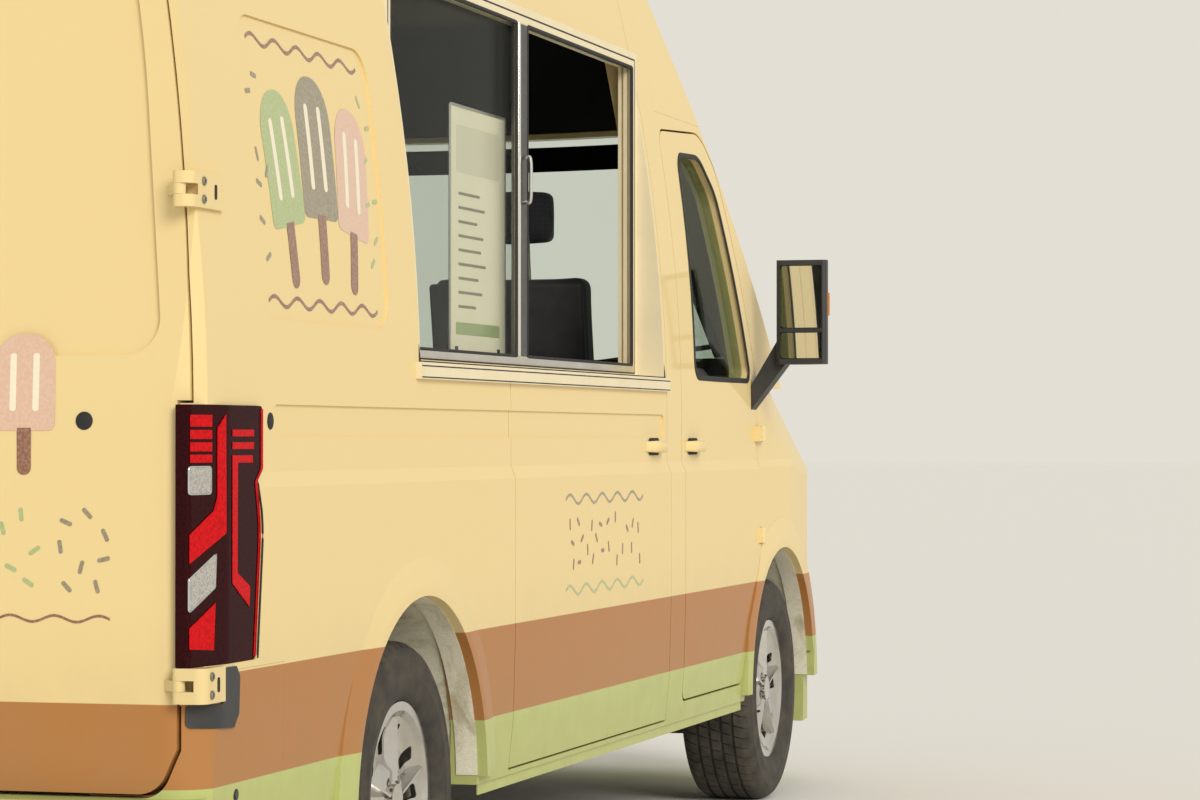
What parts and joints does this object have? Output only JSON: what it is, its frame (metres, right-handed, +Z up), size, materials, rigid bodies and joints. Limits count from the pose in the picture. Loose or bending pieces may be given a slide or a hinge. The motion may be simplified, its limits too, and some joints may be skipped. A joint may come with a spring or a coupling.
{
  "type": "ice cream truck",
  "caption": "High-roof panel van fitted as an ice cream truck, with a serving window, opening doors and bonnet, and turning, steering wheels.",
  "frame": {"origin": "on the ground, in the middle of the overall length and width", "axes": "+X forward, +Y to the vehicle's left, +Z up"},
  "size_m": [5.9787, 2.4986, 2.5883],
  "materials": {
    "cream_paint": "gloss cream body paint with a caramel band over pistachio green",
    "dark_plastic": "grained dark grey moulding",
    "glass": "clear automotive glass",
    "lamp_red": "red and clear lamp lens",
    "lamp_clear": "clear lamp cover over a bright reflector",
    "window_aluminium": "anodised window profile",
    "alloy": "machined silver alloy",
    "tyre_rubber": "black tyre rubber",
    "floor_board": "sealed plywood floor",
    "frame_steel": "black underbody paint",
    "liner_felt": "dusty wheel arch liner",
    "cast": "bare cast iron",
    "engine_block": "plain engine block",
    "exhaust_steel": "aluminised steel pipe",
    "tank_plastic": "black moulded tank",
    "seat_fabric": "dark woven seat cloth",
    "counter_steel": "brushed stainless counter",
    "cabinet_board": "pale laminate cupboard"
  },
  "bodies": {
    "van": {"side_panel_left": "cream_paint", "side_panel_right": "cream_paint", "sliding_door": "cream_paint", "roof": "cream_paint", "cab_roof": "cream_paint", "cab_frame": "cream_paint", "rear_portal": "cream_paint", "front_wings": "cream_paint", "front_bumper": "cream_paint", "rear_bumper": "cream_paint", "windscreen": "glass", "serving_window_glass": "glass", "tail_lamps": "lamp_red", "headlamps": "lamp_clear", "serving_window_frame": "window_aluminium", "grille": "dark_plastic", "dashboard": "dark_plastic", "steering_wheel": "dark_plastic", "floor": "floor_board", "underframe": "frame_steel", "front_suspension": "frame_steel", "rear_suspension": "frame_steel", "wheel_arch_liners": "liner_felt", "engine": "engine_block", "exhaust": "exhaust_steel", "fuel_tank": "tank_plastic", "seats": "seat_fabric", "serving_counter": "counter_steel", "cabinet": "cabinet_board"},
    "front_door_left": {"front_door_left": "cream_paint", "door_glass_left": "glass", "mirror_left": "dark_plastic"},
    "front_door_right": {"front_door_right": "cream_paint", "door_glass_right": "glass", "mirror_right": "dark_plastic"},
    "rear_door_left": {"rear_door_left": "cream_paint"},
    "rear_door_right": {"rear_door_right": "cream_paint"},
    "bonnet": {"bonnet": "cream_paint"},
    "knuckle_left": {"knuckle_left": "cast"},
    "knuckle_right": {"knuckle_right": "cast"},
    "wheel_front_left": {"rim_front_left": "alloy", "tyre_front_left": "tyre_rubber"},
    "wheel_front_right": {"rim_front_right": "alloy", "tyre_front_right": "tyre_rubber"},
    "wheel_rear_left": {"rim_rear_left": "alloy", "tyre_rear_left": "tyre_rubber"},
    "wheel_rear_right": {"rim_rear_right": "alloy", "tyre_rear_right": "tyre_rubber"}
  },
  "joints": [
    {"name": "steer_left", "type": "hinge", "parent": "van", "child": "knuckle_left", "pos_m": [2.002, 0.817, 0.352], "axis": [0, 0, 1], "range_deg": [-35, 35]},
    {"name": "wheel_front_left_spin", "type": "hinge", "parent": "knuckle_left", "child": "wheel_front_left", "pos_m": [2.002, 0.879, 0.352], "axis": [0, 1, 0], "continuous": true},
    {"name": "wheel_rear_left_spin", "type": "hinge", "parent": "van", "child": "wheel_rear_left", "pos_m": [-1.638, 0.87, 0.352], "axis": [0, 1, 0], "continuous": true},
    {"name": "front_door_left_hinge", "type": "hinge", "parent": "van", "child": "front_door_left", "pos_m": [1.7, 1.024, 1], "axis": [0, 0, -1], "range_deg": [0, 70]},
    {"name": "rear_door_left_hinge", "type": "hinge", "parent": "van", "child": "rear_door_left", "pos_m": [-2.935, 0.975, 1.2], "axis": [0, 0, -1], "range_deg": [0, 180]},
    {"name": "steer_right", "type": "hinge", "parent": "van", "child": "knuckle_right", "pos_m": [2.002, -0.817, 0.352], "axis": [0, 0, 1], "range_deg": [-35, 35]},
    {"name": "wheel_front_right_spin", "type": "hinge", "parent": "knuckle_right", "child": "wheel_front_right", "pos_m": [2.002, -0.879, 0.352], "axis": [0, 1, 0], "continuous": true},
    {"name": "wheel_rear_right_spin", "type": "hinge", "parent": "van", "child": "wheel_rear_right", "pos_m": [-1.638, -0.87, 0.352], "axis": [0, 1, 0], "continuous": true},
    {"name": "front_door_right_hinge", "type": "hinge", "parent": "van", "child": "front_door_right", "pos_m": [1.7, -1.024, 1], "axis": [0, 0, 1], "range_deg": [0, 70]},
    {"name": "rear_door_right_hinge", "type": "hinge", "parent": "van", "child": "rear_door_right", "pos_m": [-2.935, -0.975, 1.2], "axis": [0, 0, 1], "range_deg": [0, 180]},
    {"name": "bonnet_hinge", "type": "hinge", "parent": "van", "child": "bonnet", "pos_m": [2.222, 0, 1.302], "axis": [0, -1, 0], "range_deg": [0, 55]}
  ],
  "couplings": [
    {"joint": "steer_right", "follows": "steer_left", "ratio": 1}
  ]
}
